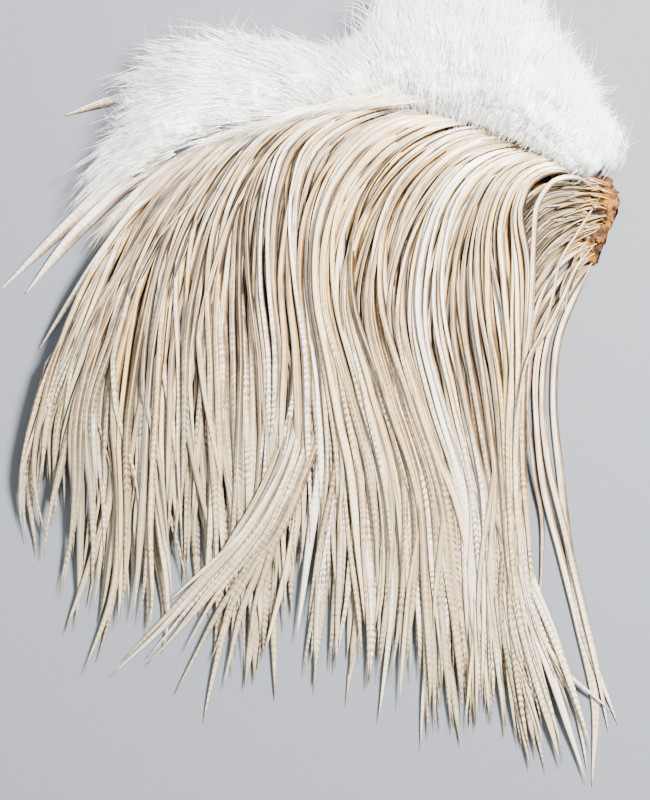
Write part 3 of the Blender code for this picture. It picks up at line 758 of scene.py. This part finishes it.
def makeShortQuills(look, rng):
    # arcs from the rim: each starts at its heading and turns steadily towards the tips of the hackles
    count = look["count"]
    t = np.linspace(0, 1, look["stations"])
    share = rng.uniform(0, 1, (count, 1))
    first, last = (np.array(corner) for corner in look["rim"])
    inwards = np.array([-1.0, 0.15])
    root = first + (last - first) * share + inwards * rng.uniform(*look["inFromRim"], (count, 1))
    atTop, atBottom = look["heading"]
    heading = atTop + (atBottom - atTop) * share + rng.normal(0, 9, (count, 1))
    angle = np.radians(heading + rng.uniform(*look["turn"], (count, 1)) * t)
    s = rng.uniform(*look["length"], (count, 1)) * t
    step = s[:, 1:2]
    flat = np.stack([np.cumsum(np.cos(angle), axis=1), np.cumsum(np.sin(angle), axis=1)], axis=-1)
    flat = root[:, None] + (flat - flat[:, :1]) * step[..., None]
    z = 1.5 + rng.uniform(*look["rise"], (count, 1)) * np.sin(np.pi * 0.62 * t) + 1.2 * t
    centre = np.concatenate([flat, z[..., None]], axis=2)
    half = rng.uniform(*look["half"], (count, 1)) * (0.7 + 0.6 * t) * (1 - 0.9 * t**6)
    roll = np.radians(rng.normal(0, 25, (count, 1)) + 0 * t)
    tone, warmth = rng.uniform(-0.1, 0.6, (count, 1)), rng.uniform(0.2, 1.1, (count, 1))
    cup, barring = np.full((count, 1, 1), 0.4), np.zeros((count, 1))
    return featherParts(centre, s, half, cup, roll, tone, warmth, barring, plainSection)


makePiece("shortQuills", makeShortQuills(shortQuills, np.random.default_rng(43)), vane)

# Two bundles leave the other hackles half way down and swing out to the left over them.
crossingBundles = [
    {"node": "crossing_lock_long", "count": 13, "spread": 5.8, "splay": 6.5, "path": [
        (38, 113, 3), (16, 108, 8), (2, 98, 10), (-5, 83, 9.0), (-8, 49, 6.0), (-7, 24, 4.8), (-6, -8, 4.6),
        (-9, -29, 5.8), (-17, -48, 6.4), (-29, -67, 5.6), (-45, -85, 4.2), (-63, -105, 2.2), (-83, -125, 0.5)]},
    {"node": "crossing_lock_short", "count": 12, "spread": 5.4, "splay": 6.5, "path": [
        (44, 113, 3), (22, 109, 8), (8, 98, 10), (1, 83, 9.0), (-3, 49, 5.8), (-1, 20, 4.6), (1, -12, 4.4),
        (-4, -34, 5.6), (-12, -53, 6.0), (-23, -73, 4.6), (-34, -92, 3.4), (-43, -117, 1.7), (-51, -141, 0.4)]},
]
crossingLook = {"stations": 52, "halfWidth": (1.1, 1.8), "thickness": 1.6, "opening": 26, "taper": 55}


def crossingHackles(bundle, look, rng):
    # feathers beside each other along one path, gathered where they turn and fanned out near their tips
    count = bundle["count"]
    t = np.linspace(0, 1, look["stations"])
    line = smoothCurve(bundle["path"], 240)
    walked = np.concatenate([[0], np.cumsum(np.linalg.norm(np.diff(line, axis=0), axis=1))])
    reach = 1 - 0.26 * rng.uniform(0, 1, (count, 1))
    reach[0] = 1.0
    s = walked[-1] * t * reach
    centre = np.stack([np.interp(s, walked, line[:, k]) for k in range(3)], axis=-1)
    offset = (rng.permutation(count) / (count - 1) - 0.5)[:, None]
    side = offset * 2 * bundle["spread"] * (1.2 - 0.7 * ramp(t, 0.25, 0.6)) + wander(rng, count, t) * 2.2
    turned = np.tan(np.radians(rng.normal(0, bundle["splay"], (count, 1))))
    side = side + turned * np.maximum(s - 0.72 * walked[-1], 0)
    centre[..., :2] += besideOf(centre[..., :2]) * side[..., None]
    centre[..., 2] += look["thickness"] * rng.uniform(-0.3, 0.7, (count, 1)) * (1 - 0.7 * t)
    half = rng.uniform(*look["halfWidth"], (count, 1))
    width = hackleWidth(s, s[:, -1:], half, look["opening"], look["taper"])
    roll = np.radians(-12 + 14 * wander(rng, count, t))
    tone = np.clip(rng.normal(0.68, 0.28, (count, 1)), 0, 1)
    barring = rng.uniform(0.2, 0.9, (count, 1)) * ramp(s, 90, 180)
    cup = rng.uniform(0.08, 0.25, (count, 1, 1))
    warmth = rng.uniform(0.2, 0.9, (count, 1))
    return featherParts(centre, s, width, cup, roll, tone, warmth, barring, fineSection)


for i, bundle in enumerate(crossingBundles):
    part = crossingHackles(bundle, crossingLook, np.random.default_rng([47, i]))
    makePiece(f"crossingHackles{i + 1}", part, vane, [bundle["node"]])
print("loose hackles laid")

# White down: one soft heap shared out between the plumes, and tufts of fine barbs that grow out of it.
down = {
    "height": 12.5, "heapShare": 0.95,   # the closed heap's height, as a share of the one the tufts start at
    "overlapLanes": (-0.5, 0, 6, 9), "overlap": (3.0, 7.0, 7.0, 11.0), "onSkin": 12.0,
    "rightEnd": -0.5, "leftEnd": 14.3, "laneSpacing": 9.0,
    "reachLanes": (-1, 1, 3, 5, 6.2, 7, 8, 9, 10), "reach": (0.5, 0.62, 0.74, 0.84, 0.76, 0.4, 0.42, 0.66, 0.8),
    "shorter": (0.55, 0.6, 0.75, 1.0, 0.9, 0.65, 0.6, 0.85, 1.0),
    "tufts": 52, "strands": 17, "tuftLength": (14, 23), "tuftSpread": 3.4, "strandRadius": 0.12,
    "hairs": 260, "hairLength": (15, 27), "hairRadius": 0.075,
    "gatherLanes": (5.5, 8.0), "gathered": (0.9, 0.35),   # pointed tufts at the right, loose barbs at the left
    "rightPlumes": 8, "rootHairLanes": (0.1, 13.2),
    "rightRootHairs": {"count": 280, "lengths": (-10, -2), "within": (0.0, 0.22)},
    "leftRootHairs": {"count": 150, "lengths": (-26, -7), "within": (0.02, 0.3)},
    "greyPatch": (61, 117, 9), "lift": [0, 0, 0, 0, 0, 0, 0, 0, 0, 0, 0, 2.2, 2.6, 4.6, 5.5, 6.0],
}
downFlow = FlowField(downPaths)


def heapEdge(lane):
    # how far out the heap goes; it is notched between its two lobes
    return downFlow.lengthAt(lane) * np.interp(lane, down["reachLanes"], down["reach"])


def heapStart(lane):
    # how far back it laps over the quills: least at the right end, where it begins at the rim of the skin
    return -np.interp(lane, down["overlapLanes"], down["overlap"])


def downTop(lane, s):
    # the heap rises over the roots of the quills, is fullest two fifths of the way out and thins to its edge
    start, outTo = heapStart(lane), heapEdge(lane)
    t = np.clip((s - start) / (outTo - start), 0, 1)
    rise = np.sqrt(np.clip(1 - (1 - np.clip(t / 0.4, 0, 1)) ** 2, 0, 1))
    fall = np.sqrt(1 - np.clip((t - 0.4) / 0.6, 0, 1) ** 2)
    rightEnd = np.clip((down["rightEnd"] + 1.0 - lane) / 1.0, 0, 1)
    leftEnd = np.clip((lane - down["leftEnd"] + 1.6) / 1.6, 0, 1)
    ends = np.sqrt(1 - np.maximum(rightEnd, leftEnd) ** 2)
    flat = downFlow.at(lane, s)
    x, y = flat[..., 0], flat[..., 1]
    uneven = 1 + 0.12 * lumps(x, y, 16, 5) + 0.06 * lumps(x, y, 6, 6)
    return down["height"] * rise * fall * ends * uneven


def downBottom(lane, s):
    # it clears the skin near its root, and the plumes at the left end lie over the left hackles
    lowest = np.interp(lane, np.arange(len(down["lift"])), down["lift"])
    offSkin = ramp(s, down["onSkin"], 2 * down["onSkin"])
    onSkin = np.maximum(heap["skinThickness"] + heap["clearance"], lowest)
    return onSkin * (1 - offSkin) + lowest * offSkin


def plumeLanes(i):
    # the lanes that plume i covers; the two end plumes reach to the ends of the heap
    low = down["rightEnd"] if i == 0 else i - 0.56
    high = down["leftEnd"] if i == len(downPaths) - 1 else i + 0.56
    return low, high


def downHeap(i):
    # the share of the heap that belongs to plume i: its top surface and an underside
    stations, columns = 34, 13
    low, high = plumeLanes(i)
    lanes = np.linspace(high, low, columns)
    t = 0.5 - 0.5 * np.cos(np.pi * np.linspace(0.02, 0.98, stations))
    s = heapStart(lanes) + t[:, None] * (heapEdge(lanes) - heapStart(lanes))
    lane = np.broadcast_to(lanes, s.shape)
    flat, lying = downFlow.at(lane, s), downBottom(lane, s)
    top = np.concatenate([flat, (lying + downTop(lane, s) * down["heapShare"])[..., None]], axis=2)
    base = np.concatenate([flat, lying[..., None]], axis=2)[:, ::-1]
    rings = np.concatenate([top, base[:, 1:-1]], axis=1)[None]
    points = withPoles(rings)
    return plainPart(points, tubeFaces(1, stations, rings.shape[2]), {"tone": np.full(len(points), 0.97)})


def strandParts(line, radius, tone):
    # three-sided strands that end in a point; line is (count, 4, 3), radius a profile along it
    along = np.gradient(line, axis=1)
    along /= np.linalg.norm(along, axis=2, keepdims=True)
    across = np.cross(np.array([0.31, 0.17, 0.93]), along)
    across /= np.linalg.norm(across, axis=2, keepdims=True)
    up = np.cross(along, across)
    turn = np.array([0, 2, 4]) * np.pi / 3
    swing = across[:, :, None] * np.cos(turn)[:, None] + up[:, :, None] * np.sin(turn)[:, None]
    rings = (line[:, :, None] + radius[None, :, None, None] * swing)[:, :-1]
    stations = line.shape[1] - 1
    points, faces = withPoles(rings, line[:, [0, -1]]), tubeFaces(len(line), stations, 3)
    return plainPart(points, faces, {"tone": np.repeat(tone, stations * 3 + 2)})


def downTufts(i, rng, tufts, strands, lengths, gather, radius, within=(0.0, 1.0)):
    # tufts rooted all over the plume's share of the heap follow the flow outwards, or back where lengths are
    # negative. Their strands start apart and close to a point where gather is near 1, and spread where it is
    # negative. within is the part of the way out where they are rooted.
    low, high = plumeLanes(i)
    if lengths[0] < 0:
        low, high = max(low, down["rootHairLanes"][0]), min(high, down["rootHairLanes"][1])
    tufts = int(tufts * max(1.0, (high - low) * 0.8))
    lane0 = rng.uniform(low, high, tufts)[:, None, None]
    rooted = within[0] + (within[1] - within[0]) * rng.uniform(0, 1, (tufts, 1, 1)) ** 0.75
    s0 = heapStart(lane0) + (heapEdge(lane0) - heapStart(lane0)) * rooted
    v = np.linspace(0, 1, 4) * rng.uniform(0.5, 1.0, (tufts, strands, 1))
    reach = rng.uniform(*lengths, (tufts, 1, 1)) * np.interp(lane0, down["reachLanes"], down["shorter"])
    fan = rng.normal(0, 0.2, (tufts, 1, 1)) * reach / down["laneSpacing"]
    lane, s = lane0 + fan * v * v, s0 + reach * v
    shape = v.shape
    lane = np.broadcast_to(lane, shape).reshape(-1, 4)
    s = np.broadcast_to(s, shape).reshape(-1, 4)
    flat = downFlow.at(lane, s)
    v = v.reshape(-1, 4)
    apart = rng.normal(0, down["tuftSpread"], (tufts * strands, 1))
    curl = rng.normal(0, 0.6, (tufts * strands, 1)) * v * v
    closing = gather * np.repeat(0.15 + 0.85 * ramp(rooted.ravel(), 0.55, 0.95), strands)[:, None]
    flat = flat + besideOf(flat) * (apart * (1 - closing * v) + curl)[..., None]
    root = np.repeat((downBottom(lane0, s0) + downTop(lane0, s0)).ravel(), strands)[:, None]
    steep = (0.05 + 0.3 * ramp(rooted.ravel(), 0.65, 1.0)) * rng.uniform(0, 1, tufts) * np.abs(reach.ravel())
    rise = np.repeat(steep, strands)[:, None]
    free = root * rng.uniform(0.75, 1.0, (len(root), 1)) + rise * (v - 0.75 * v * v)
    free = free + rng.normal(0, 0.35, v.shape) * v
    lying = downBottom(lane, s) + downTop(lane, s) + 0.25
    z = np.maximum(np.maximum(free, lying), 0.2)
    line = np.concatenate([flat, z[..., None]], axis=2)
    greyX, greyY, greySize = down["greyPatch"]
    grey = np.exp(-((line[:, 0, 0] - greyX) ** 2 / (3 * greySize) ** 2 + (line[:, 0, 1] - greyY) ** 2 / 9))
    tone = np.clip(rng.normal(0.98, 0.08, len(line)) - 0.5 * grey * rng.uniform(0, 1, len(line)), 0, 1)
    return strandParts(line, radius, tone)


for i in range(len(downPaths)):
    rng = np.random.default_rng([53, i])
    thick, thin = (down[key] * np.array([1.0, 0.95, 0.6, 0.08]) for key in ("strandRadius", "hairRadius"))
    gather = np.interp(i, down["gatherLanes"], down["gathered"])
    back = down["rightRootHairs" if i < down["rightPlumes"] else "leftRootHairs"]
    fluffed = joinParts([
        downHeap(i),
        downTufts(i, rng, down["tufts"], down["strands"], down["tuftLength"], gather, thick),
        downTufts(i, rng, down["hairs"], 1, down["hairLength"], -0.6, thin, (0.35, 1.0)),
        downTufts(i, rng, back["count"], 1, back["lengths"], 0.3, thick, back["within"]),
    ])
    makePiece(f"downPlume{i + 1:02d}", fluffed, fluff, [f"down_plume_{i + 1:02d}"])
print("down grown")

# The vanes of the left hackles are loose and downy near the root: barbs that lie over them and beside them.
baseFluff = {
    "barbs": 1900, "lanes": (-0.9, 6.5), "rootedFrom": (-10, 9), "reach": (9, 26), "radius": 0.09, "curl": 1.1,
    "outerShare": 0.5, "outerLanes": (-1.0, 0.1), "outerFrom": (14, 62),   # those beside the outermost hackles
}


def downyRoots(look, rng):
    # single barbs along the flow of the hackles, laid on top of them
    count = look["barbs"]
    outer = rng.uniform(0, 1, (count, 1)) < look["outerShare"]
    span = look["lanes"]
    inner = span[0] + (span[1] - span[0]) * rng.uniform(0, 1, (count, 1)) ** 1.4
    lane0 = np.where(outer, rng.uniform(*look["outerLanes"], (count, 1)), inner)
    outerStart = rng.uniform(*look["outerFrom"], (count, 1))
    s0 = np.where(outer, outerStart, rng.uniform(*look["rootedFrom"], (count, 1)))
    v = np.linspace(0, 1, 4) * np.ones((count, 1))
    s = s0 + rng.uniform(*look["reach"], (count, 1)) * v
    lane = lane0 + rng.normal(0, 0.25, (count, 1)) * v
    flat = coverFlow.at(lane, s)
    flat = flat + besideOf(flat) * (rng.normal(0, look["curl"], (count, 1)) * v * v)[..., None]
    bottom, pile = coverHeights(s, s / 250, np.maximum(lane, 0))
    share = np.where(outer, rng.uniform(0.2, 0.7, (count, 1)), 1.0)
    z = (bottom + pile) * share + rng.uniform(0.1, 0.9, (count, 1)) * (1 - v)
    line = np.concatenate([flat, np.maximum(z, 0.2)[..., None]], axis=2)
    tone = np.where(outer[:, 0], rng.uniform(0.3, 0.9, count), rng.uniform(0.4, 1.0, count))
    return strandParts(line, look["radius"] * np.array([1.0, 0.9, 0.6, 0.08]), tone)


makePiece("downyRoots", downyRoots(baseFluff, np.random.default_rng(59)), creamFluff)
print("downy roots laid")

# The skin: a strip between two edges, 1.6 mm thick at most, cockled as it dried.
skinEdges = {
    "upper": [(-30, 105), (-9, 116.5), (16, 125.5), (50, 124.5), (80, 117.5), (105, 103.5), (119, 91.5),
              (127, 83), (130, 77)],
    "lower": [(-22, 100), (-5, 104.5), (25, 108.5), (54, 102.5), (79, 91.5), (94, 80), (104, 70.5), (108, 62.5),
              (112, 53.5), (119, 48.5)],
}


def makeSkin(edges):
    # grid of stations from end to end and columns across; the top rises off the table with a slow wave, the
    # underside lies on it, and both meet in a rounded rim
    stations, columns = 220, 26
    raggedness, rimHeight, leastCurl = 1.4, 0.7, -0.2
    upper, lower = smoothCurve(edges["upper"], stations), smoothCurve(edges["lower"], stations)
    t = np.linspace(0, 1, stations)
    across = np.linspace(0, 1, columns)
    ragged = ramp(t, 0.8, 0.97)[:, None, None]
    flat = upper[:, None] * (1 - across[None, :, None]) + lower[:, None] * across[None, :, None]
    nibbled = np.stack([lumps(flat[..., 0], flat[..., 1], size, 8) for size in (5, 4)], axis=-1)
    flat = flat + ragged * nibbled * raggedness
    x, y = flat[..., 0], flat[..., 1]
    wave = lumps(x, y, 9, 3) * 0.28 + lumps(x, y, 3.5, 4) * 0.14
    top = 1.25 + wave * (0.4 + 0.6 * ramp(t, 0.75, 0.9)[:, None])
    rim = np.sqrt(np.clip(1 - (2 * across - 1) ** 8, 0.02, 1))
    # the right end has curled up as it dried
    curled = ramp(t, 0.9, 1.0)[:, None] * (0.6 + 0.7 * lumps(x, y, 3.0, 7))
    topZ = rimHeight + (top - rimHeight + np.maximum(curled, leastCurl)) * rim
    lowZ = rimHeight - rimHeight * np.broadcast_to(rim, topZ.shape)
    topRow = np.concatenate([flat, topZ[..., None]], axis=2)
    lowRow = np.concatenate([flat, lowZ[..., None]], axis=2)[:, ::-1]
    rings = np.concatenate([topRow, lowRow[:, 1:-1]], axis=1)[:, ::-1][None]
    return plainPart(withPoles(rings), tubeFaces(1, stations, rings.shape[2]), {})


makePiece("driedSkin", makeSkin(skinEdges), hide, ["skin"])
print("skin laid")

# Stage: a pale floor, soft light and a camera that looks straight down as the photograph does.
stage = {
    "floor": "#696d73", "floorSize": 6.0, "floorLevel": -0.0002,   # metres; it stays clear of the underside
    "pixel": 0.42, "frameCentre": (5.88, -7.56),                   # mm
    "cameraHeight": 1.6, "sensor": 36, "frameHeight": 800,
}


def makeFloor():
    material, _, shader = newMaterial("pale floor")
    shader.inputs["Base Color"].default_value = linearColour(stage["floor"])
    shader.inputs["Roughness"].default_value = 0.9
    half, level = stage["floorSize"] / 2, stage["floorLevel"]
    corners = [(x * half, y * half, level) for x, y in ((-1, -1), (1, -1), (1, 1), (-1, 1))]
    mesh = bpy.data.meshes.new("floor")
    mesh.from_pydata(corners, [], [(0, 1, 2, 3)])
    mesh.materials.append(material)
    floor = bpy.data.objects.new("floor", mesh)
    bpy.context.scene.collection.objects.link(floor)


def areaLight(name, place, size, power, colour):
    data = bpy.data.lights.new(name, "AREA")
    data.shape = "DISK"
    data.size = size
    data.energy = power
    data.color = colour
    light = bpy.data.objects.new(name, data)
    light.location = place
    aim = -np.array(place)
    tilt = math.atan2(math.hypot(aim[0], aim[1]), -aim[2])
    light.rotation_euler = (tilt, 0.0, math.atan2(aim[1], aim[0]) + 1.5 * math.pi)
    bpy.context.scene.collection.objects.link(light)


def makeStage():
    makeFloor()
    areaLight("key", (0.66, 0.56, 0.84), 0.36, 124.0, (1.0, 0.985, 0.955))
    areaLight("fill", (-0.9, -0.5, 1.3), 0.9, 10.0, (0.96, 0.98, 1.0))
    world = bpy.data.worlds.new("studio")
    world.use_nodes = True
    background = world.node_tree.nodes["Background"]
    background.inputs[0].default_value = (0.95, 0.97, 1.0, 1.0)
    background.inputs[1].default_value = 0.7
    bpy.context.scene.world = world
    data = bpy.data.cameras.new("camera")
    data.sensor_width = stage["sensor"]
    # the long side of the 650 by 800 frame takes the sensor's width
    tall = stage["frameHeight"] * stage["pixel"] * mm
    data.lens = stage["sensor"] * stage["cameraHeight"] / tall
    camera = bpy.data.objects.new("camera", data)
    x, y = stage["frameCentre"]
    camera.location = (x * mm, y * mm, stage["cameraHeight"])
    bpy.context.scene.collection.objects.link(camera)
    bpy.context.scene.camera = camera


makeStage()
print("stage set")
made = [thing.data for thing in bpy.data.objects if thing.type == "MESH" and thing.data.materials]
print("triangles in all:", sum(len(mesh.loops) - 2 * len(mesh.polygons) for mesh in made))
